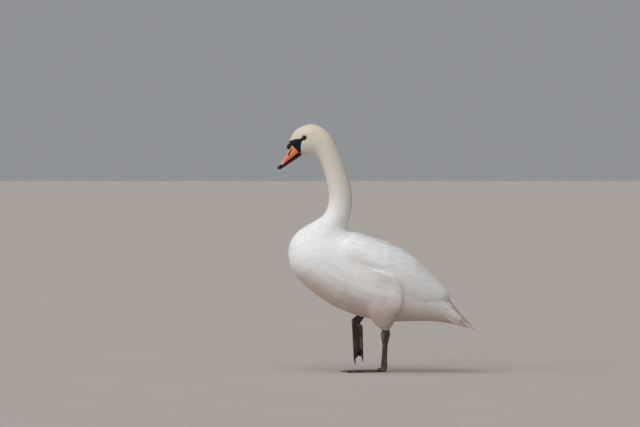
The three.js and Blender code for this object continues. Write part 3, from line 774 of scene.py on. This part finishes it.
# ---- wing quills ----
# Long stiff quills end the folded wing: tertials and secondaries over its lower edge, and five primaries,
# whose tips show one behind another over the tail. Each is a cupped vane with a rounded tip.
QUILL_STEPS = 8
QUILL_WIDTHS = [0.30, 0.45, 0.58, 0.68, 0.76, 0.83, 0.89, 0.94, 0.97, 1.0, 1.0, 0.98, 0.92, 0.80, 0.58]
quill = modelled_vane(14, 6, QUILL_WIDTHS, 0.08, 0.16, 0.010)
skin_points = KDTree(len(skin_places))
for i, point in enumerate(skin_places):
    skin_points.insert(point, i)
skin_points.balance()
point_uvs = np.zeros((len(skin_places), 2))
point_uvs[tri_points.ravel()] = loop_uvs[tri_loops.ravel()]


def long_feathers(name, paths, face, width, seed, hug=None):
    """Quills along paths from root to tip. Each looks to its face, or hugs the skin at two heights."""
    paths = np.array(paths)
    count, steps = paths.shape[:2]
    u, v, w = quill.points.T
    at = np.clip(u, 0, 1) * (steps - 1)
    low = np.minimum(at.astype(int), steps - 2)
    share = (at - low)[:, None]
    middle = paths[:, low] * (1 - share) + paths[:, low + 1] * share
    lie = unit(paths[:, low + 1] - paths[:, low])
    across = unit(np.cross(np.broadcast_to(np.array(face)[:, None], lie.shape), lie))
    placed = middle + across * (width * v)[:, None]
    up = unit(np.cross(lie, across))
    if hug:
        placed, up = on_the_skin(placed)
        placed += up * (hug[0] + (hug[1] - hug[0]) * u)[:, None]
    placed = placed + up * (width * w)[:, None]
    sizes = (np.linalg.norm(np.diff(paths, axis=1), axis=2).sum(1), np.full(count, width))
    unwrap = point_uvs[[skin_points.find(path[0])[1] for path in paths]]
    return feather_mesh(name, placed, up, quill, unwrap, sizes, seed)


def traced(y, z, side, length, steps=12):
    """A path over the skin that ends at the side's point (y, z) and comes along the lie of the coat."""
    point = np.array(skin_tree.ray_cast((side * 0.3, y, z), (-side, 0, 0))[0])
    path = [point]
    for _ in range(steps):
        point = point - flow[skin_points.find(point)[1]] * length / steps
        point = np.array(skin_tree.find_nearest(point)[0])
        path.append(point)
    return path[::-1]


TERTIAL_TIPS = [
    (0.118, 0.243), (0.134, 0.232), (0.150, 0.229), (0.165, 0.229), (0.180, 0.230), (0.194, 0.232),
    (0.206, 0.236), (0.213, 0.240), (0.214, 0.247),
]
TERTIAL_LENGTH = 0.130
TERTIAL_WIDTH = 0.025
TERTIAL_HEIGHTS = (0.0015, 0.0052)
PRIMARY_TIPS = np.array([
    (0.034, 0.210, 0.226), (0.030, 0.219, 0.220), (0.026, 0.227, 0.213), (0.022, 0.234, 0.206),
    (0.018, 0.238, 0.199),
])
PRIMARY_RUN = np.array((-0.020, 0.100, -0.056))
PRIMARY_WIDTH = 0.017
for side, word in [(1, "left"), (-1, "right")]:
    paths = [traced(y, z, side, TERTIAL_LENGTH) for y, z in TERTIAL_TIPS]
    faces = [(side, 0.1, 0.4)] * len(paths)
    long_feathers("tertials_" + word, paths, faces, TERTIAL_WIDTH, 30 + side, hug=TERTIAL_HEIGHTS)
    paths = [np.linspace(tip - PRIMARY_RUN, tip, QUILL_STEPS) * (side, 1, 1) for tip in PRIMARY_TIPS]
    faces = [(side, 0.2, 0.7)] * len(paths)
    primaries = long_feathers("quills_" + word, paths, faces, PRIMARY_WIDTH, 40 + side)
    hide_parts("primaries_" + word)

# ---- tail ----
# Twenty-two stiff quills make the wedge of the tail. The middle pair lies on top and reaches furthest, and
# each pair further out is shorter and lies under the one before. Five rows of coverts lie over their roots.
TAIL_PAIRS = 11
TAIL_QUILL_WIDTH = 0.018
MIDDLE_TIP = np.array((0.003, 0.3070, 0.1275))
TIP_STEP = np.array((0.0058, -0.0026, 0.0030))
TIP_CURVE = np.array((-0.00013, -0.00030, 0))
MIDDLE_ROOT = np.array((0.003, 0.165, 0.286))
ROOT_STEP = np.array((0.0049, 0, -0.0068))
LAYER_STEP = np.array((0, -0.0002, -0.0004))
paths = []
faces = []
for side in (1, -1):
    for k in range(TAIL_PAIRS):
        tip = MIDDLE_TIP + TIP_STEP * k + TIP_CURVE * k**2
        root = MIDDLE_ROOT + ROOT_STEP * k
        paths.append((np.linspace(root, tip, QUILL_STEPS) + LAYER_STEP * k) * (side, 1, 1))
        faces.append((side * (0.15 + 0.07 * k), 0.62, 0.72))
long_feathers("tail_quills", paths, faces, TAIL_QUILL_WIDTH, 50)

COVERT_ROWS = 5
COVERT_PAIRS = 7
COVERT_WIDTH = 0.021
COVERT_TIP = np.array((0.003, 0.252, 0.1945))
COVERT_RUN = np.array((0, 0.085, -0.097))
ROW_STEP = np.array((0, -0.0105, 0.0126))
ROW_SHIFT = np.array((0.004, 0, 0))
PAIR_STEP = np.array((0.0082, -0.0035, -0.0012))
PAIR_DROP = np.array((0, 0, -0.0048))
paths = []
faces = []
for side in (1, -1):
    for row in range(COVERT_ROWS):
        for k in range(COVERT_PAIRS):
            tip = COVERT_TIP + ROW_STEP * row + ROW_SHIFT * (row % 2) + PAIR_STEP * k
            root = tip * (0.85, 1, 1) - COVERT_RUN + PAIR_DROP * k
            paths.append(np.linspace(root, tip, QUILL_STEPS) * (side, 1, 1))
            faces.append((side * (0.08 + 0.10 * k), 0.62, 0.72))
long_feathers("tail_coverts", paths, faces, COVERT_WIDTH, 51)

# ---- naked face ----
# The lores are bare black skin, finely wrinkled, from the bill to a narrow rim round the eye. They lie level
# with the feathers' tips, where a plate of their outline cuts them out of the head, and they swell into the
# knob over the bill.
def prism(name, outline, half_width):
    """A plate with an outline of (y, z) corners, from side to side of the bird."""
    bpy.ops.object.select_all(action="DESELECT")
    turn = (math.radians(90), 0, math.radians(90))
    bpy.ops.mesh.primitive_circle_add(vertices=len(outline), fill_type="NGON", rotation=turn)
    bpy.ops.object.transform_apply(location=False, rotation=True, scale=False)
    piece = bpy.context.object
    piece.name = name
    for v, (y, z) in zip(piece.data.vertices, outline):
        v.co = (-half_width, y, z)
    bpy.ops.object.mode_set(mode="EDIT")
    bpy.ops.mesh.select_all(action="SELECT")
    bpy.ops.mesh.extrude_region_move(TRANSFORM_OT_translate={"value": (2 * half_width, 0, 0)})
    bpy.ops.mesh.select_all(action="SELECT")
    bpy.ops.mesh.normals_make_consistent(inside=False)
    bpy.ops.object.mode_set(mode="OBJECT")
    return piece


def finish(piece, finish_material, slot, *nodes):
    """Gives a finished piece its material and its body, smooths it and hides the nodes that it stands for.
    The slot is not used.
    """
    piece.data.materials.clear()
    piece.data.materials.append(finish_material)
    bpy.ops.object.select_all(action="DESELECT")
    bpy.context.view_layer.objects.active = piece
    piece.select_set(True)
    bpy.ops.object.shade_smooth()
    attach(piece, "root")
    if nodes:
        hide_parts(*nodes)


def boolean(piece, operation, tool):
    """Cuts a piece with a tool, which goes."""
    apply_modifier(piece, "BOOLEAN", operation=operation, object=tool, solver="EXACT")
    bpy.data.objects.remove(tool)


LORES_HALF_WIDTH = 0.045
melt(lores, 0.0012, 6)
boolean(lores, "INTERSECT", prism("lores_outline", LORES, LORES_HALF_WIDTH))
copy_of("knob", ["bill_knob"])
lores.select_set(True)
bpy.context.view_layer.objects.active = lores
bpy.ops.object.join()
melt(lores, 0.0009, 8)
naked, naked_shader, place = new_material("naked_skin", Roughness=0.5, Specular_IOR_Level=0.25)
wrinkle = place.node("TexVoronoi", {"feature": "DISTANCE_TO_EDGE"}, {"Vector": place, "Scale": 620.0})
add_relief(naked_shader, wrinkle * 0.7 + place.noise(900.0, 3) * 0.5, 0.5, 0.0006)
dust = place.noise(70.0, 4).ramp(0.45, 0.8)
feed(naked_shader, "Base Color", (dust * 0.6).mix((0.004, 0.004, 0.005, 1), (0.018, 0.017, 0.017, 1)))
finish(lores, naked, "black_horn", "bill_knob")

# ---- eyes ----
# Each eye is a wet dark brown ball with a black pupil under its bulging front. It is set in a round lid of
# thin black skin that covers its rim above and below.
PUPIL_EDGE = (0.0026, 0.0031)
IRIS_EDGE = (0.0044, 0.0054)
LID_OUT = 0.0042
LID_RADIUS = 0.0050
LID_THICKNESS = 0.0011
LID_FLATTER = 0.10
LID_LONGER = 0.06
BULGE = 0.0016
BULGE_START = 0.72
iris, iris_shader, place = new_material("eye_ball", Roughness=0.05, Specular_IOR_Level=0.35)
_, y, z = place.parts()
out = ((y - EYE[1]) * (y - EYE[1]) + (z - EYE[2]) * (z - EYE[2])).math("SQRT")
ring = out.ramp(*PUPIL_EDGE).mix((0.002, 0.002, 0.002, 1), (0.035, 0.016, 0.008, 1))
feed(iris_shader, "Base Color", out.ramp(*IRIS_EDGE).mix(ring, (0.006, 0.004, 0.003, 1)))
for side, word in [(1, "left"), (-1, "right")]:
    centre = Vector((side * EYE[0], EYE[1], EYE[2]))
    outward = Vector((side, -0.12, 0.05)).normalized()
    turn = outward.to_track_quat("Z", "Y").to_euler()
    bpy.ops.object.select_all(action="DESELECT")
    bpy.ops.mesh.primitive_uv_sphere_add(
        segments=48, ring_count=32, radius=EYE_RADIUS, location=centre, rotation=turn
    )
    ball = bpy.context.object
    ball.name = "eyeball_" + word
    bpy.ops.object.transform_apply(location=True, rotation=True, scale=False)
    for v in ball.data.vertices:
        front_share = max(0.0, (v.co - centre).dot(outward) / EYE_RADIUS - BULGE_START)
        v.co += outward * front_share * BULGE
    finish(ball, iris, "eye", "eye_" + word)

    bpy.ops.object.select_all(action="DESELECT")
    bpy.ops.mesh.primitive_torus_add(
        location=centre + outward * LID_OUT,
        rotation=turn,
        major_segments=56,
        minor_segments=16,
        major_radius=LID_RADIUS,
        minor_radius=LID_THICKNESS,
    )
    lid = bpy.context.object
    lid.name = "eyelid_" + word
    bpy.ops.object.transform_apply(location=True, rotation=True, scale=False)
    for v in lid.data.vertices:
        offset = v.co - centre - outward * LID_OUT
        v.co -= Vector((0, 0, offset.z * LID_FLATTER))
        v.co += Vector((0, offset.y * LID_LONGER, 0))
    finish(lid, naked, "black_horn")

# ---- upper bill ----
# The upper bill is skin over bone with a dull horny gloss: orange at its root, redder and paler to the tip.
# A black edge runs round it, and each nostril is a slot that goes into it through a black patch.
NOSTRIL_TOP = (-0.2610, 0.6935)
NOSTRIL_END = (-0.2722, 0.6733)
NOSTRIL_OUT = 0.013
NOSTRIL_SIZE = (0.0075, 0.0013, 0.0075)
upper = copy_of("upper_bill", ["bill_upper"])
melt(upper, 0.0008, 10)
bpy.ops.object.select_all(action="DESELECT")
slot_middle = ((NOSTRIL_TOP[0] + NOSTRIL_END[0]) / 2, (NOSTRIL_TOP[1] + NOSTRIL_END[1]) / 2)
lean = math.atan2(NOSTRIL_END[0] - NOSTRIL_TOP[0], NOSTRIL_TOP[1] - NOSTRIL_END[1])
for side in (1, -1):
    slot_place = (side * NOSTRIL_OUT, *slot_middle)
    bpy.ops.mesh.primitive_uv_sphere_add(segments=32, ring_count=20, location=slot_place)
    opening = bpy.context.object
    opening.scale = NOSTRIL_SIZE
    opening.rotation_euler = (lean, 0, 0)
    bpy.ops.object.transform_apply(location=True, rotation=True, scale=True)
    boolean(upper, "DIFFERENCE", opening)
melt(upper, 0.0007, 4)

horn, horn_shader, place = new_material("bill_horn", Roughness=0.38, Specular_IOR_Level=0.45)
_, y, z = place.parts()


def beyond(y, z, start, end):
    """How far (y, z) lies to the left of the line from start to end, seen with the bill to the left."""
    run = (end[0] - start[0], end[1] - start[1])
    length = math.hypot(*run)
    return (z - start[1]) * (run[0] / length) - (y - start[0]) * (run[1] / length)


ROOT_TOP = (-0.2591, 0.7059)
ROOT_END = (-0.2353, 0.6836)
EDGE_TIP = (-0.2985, 0.6336)
ORANGE = (0.92, 0.29, 0.075, 1)
RED = (0.88, 0.20, 0.105, 1)
PALE = (0.80, 0.43, 0.36, 1)
SCUFFED = (0.90, 0.50, 0.36, 1)
BLACK = (0.012, 0.011, 0.012, 1)
wobble = (place.noise(180.0, 3) - 0.5) * 0.0012
from_root = beyond(y, z, ROOT_END, ROOT_TOP)
from_edge = beyond(y, z, EDGE_TIP, ROOT_END)
run_y = NOSTRIL_END[0] - NOSTRIL_TOP[0]
run_z = NOSTRIL_END[1] - NOSTRIL_TOP[1]
share = ((y - NOSTRIL_TOP[0]) * run_y + (z - NOSTRIL_TOP[1]) * run_z) * (1 / (run_y**2 + run_z**2))
share = share.math("MAXIMUM", 0.0).math("MINIMUM", 1.0)
off_y = y - NOSTRIL_TOP[0] - share * run_y
off_z = z - NOSTRIL_TOP[1] - share * run_z
from_slot = (off_y * off_y + off_z * off_z).math("SQRT") + wobble
blotch = place.noise(120.0, 4)
mottled = from_root + (blotch - 0.5) * 0.02
colour = mottled.ramp(0.012, 0.042).mix(ORANGE, RED)
colour = mottled.ramp(0.050, 0.076).mix(colour, PALE)
colour = (blotch.ramp(0.55, 0.75) * 0.35).mix(colour, SCUFFED)
coloured = (from_root + wobble).ramp(0.0004, 0.0016) * (from_edge + wobble).ramp(0.0008, 0.0018)
coloured = coloured * (from_slot - share * 0.0008).ramp(0.0016, 0.0025)
coloured = coloured * (1 - (from_root + wobble * 2).ramp(0.0690, 0.0705))
feed(horn_shader, "Base Color", coloured.mix(BLACK, colour))
add_relief(horn_shader, place.noise(420.0, 3) * 0.5 + place.noise(90.0, 2), 0.3, 0.0006)
finish(upper, horn, "orange_bill", "bill_upper")

# ---- nail and lower bill ----
# The black nail is a small shield of hard horn at the bill's tip. The lower bill is horn of the same kind,
# shut against the upper one, and shows as a thin black edge below it.
LOWER_BILL_SWELL = 0.0011
LOWER_BILL_NARROWING = 0.88
black_horn, black_shader, place = new_material("black_horn", Roughness=0.38, Specular_IOR_Level=0.35)
worn = place.noise(230.0, 4).ramp(0.5, 0.8)
feed(black_shader, "Base Color", worn.mix((0.005, 0.005, 0.005, 1), (0.028, 0.023, 0.020, 1)))
add_relief(black_shader, place.noise(700.0, 3), 0.3, 0.0004)
for name, node, voxel in [("nail", "bill_nail", 0.0005), ("lower_bill", "bill_lower", 0.0008)]:
    piece = copy_of(name, [node])
    melt(piece, voxel, 8)
    if name == "lower_bill":
        # It is swollen to close against the upper bill, and narrowed again to stay inside its edges.
        apply_modifier(piece, "DISPLACE", strength=LOWER_BILL_SWELL, mid_level=0)
        bpy.ops.object.mode_set(mode="EDIT")
        bpy.ops.mesh.select_all(action="SELECT")
        bpy.ops.transform.resize(value=(LOWER_BILL_NARROWING, 1, 1), center_override=(0, 0, 0))
        bpy.ops.object.mode_set(mode="OBJECT")
    finish(piece, black_horn, "black_horn", node)

# ---- legs and feet ----
# Each leg's bare shank, joint, four toes and two webs are one piece of leathery skin with small raised
# scales. It is dark grey-brown, with paler worn patches on the joint and the toes, and the webs are
# painted darker as painted shade in their folds.
JOINT = (0.016, 0.112)
BROWN = (0.048, 0.033, 0.024, 1)
TAN = (0.235, 0.165, 0.105, 1)
WEB_SHADE = (0.016, 0.013, 0.011, 1)
CREASE_SHADE = (0.015, 0.012, 0.010, 1)
WEB_SWELL = 0.0006
WEB_SHRINK = 0.0004
WEB_GAP = (0.0012, 0.0060)
SCALE_SIZE = 0.0034
SCALE_HEIGHT = 0.0007
legs, leg_shader, place = new_material("leg_skin", Roughness=0.62, Specular_IOR_Level=0.25)
web = place.node("Attribute", {"attribute_name": "web"}, output=2)
patches = (place.noise(38.0, 4) + place.noise(150.0, 2) * 0.25).ramp(0.52, 0.80)
_, y, z = place.parts()
off_y = y - JOINT[0]
off_z = z - JOINT[1]
from_joint = (off_y * off_y * 2.5 + off_z * off_z).math("SQRT")
patches = patches * 0.55 + (1 - from_joint.ramp(0.006, 0.020)) * 0.9
colour = (patches * (1 - web)).mix(BROWN, TAN)
# The webs are painted darker, as painted shade in their folds.
colour = (web * 0.85).mix(colour, WEB_SHADE)
cells = place.node("TexVoronoi", {"feature": "DISTANCE_TO_EDGE"}, {"Vector": place, "Scale": 330.0})
# The furrows between the scales are painted darker, as painted shade.
colour = (cells.ramp(0.0, 0.10) * 0.5 + 0.5).mix(CREASE_SHADE, colour)
feed(leg_shader, "Base Color", colour)
add_relief(leg_shader, cells.math("MINIMUM", 0.25) * 2.0 + place.noise(1500.0, 3) * 0.4, 0.6, 0.0008)

scales = bpy.data.textures.new("scales", "VORONOI")
scales.noise_scale = SCALE_SIZE
scales.weight_1 = -1.0
scales.weight_2 = 1.0
for word in ("left", "right"):
    webs = ["web_inner_" + word, "web_outer_" + word]
    solids = ["leg_" + word, "palm_" + word]
    solids += ["toe_%s_%s" % (toe, word) for toe in ("inner", "middle", "outer", "hind")]
    foot = copy_of("foot_" + word, solids + webs)
    # The thin webs are swollen before they are melted into the toes, and drawn in again after it.
    apply_modifier(foot, "DISPLACE", strength=WEB_SWELL, mid_level=0)
    melt(foot, 0.0009, 6)
    apply_modifier(foot, "DISPLACE", strength=-WEB_SHRINK, mid_level=0)
    _, from_toes = nearest_node(coordinates(foot.data), solids)
    web_share = smooth_step(from_toes, *WEB_GAP)
    weigh(foot, "scaly", 1 - web_share)
    relief = {"texture": scales, "texture_coords": "LOCAL", "strength": SCALE_HEIGHT, "mid_level": 0.45}
    apply_modifier(foot, "DISPLACE", vertex_group="scaly", **relief)
    # The sole stays flat on the floor.
    for v in foot.data.vertices:
        v.co.z = max(v.co.z, 0.0)
    mark = foot.data.attributes.new("web", "FLOAT", "POINT")
    mark.data.foreach_set("value", web_share.astype(np.float32))
    finish(foot, legs, "leg_skin", *solids, *webs)

# ---- claws ----
# Each front toe ends in a short blunt claw of the same dark horn as the nail. It grows out over the toe's
# tip and is slightly curved.
for word in ("left", "right"):
    for toe in ("inner", "middle", "outer"):
        node = "claw_%s_%s" % (toe, word)
        claw = copy_of("nail_%s_%s" % (toe, word), [node])
        melt(claw, 0.0004, 4)
        finish(claw, black_horn, "black_horn", node)
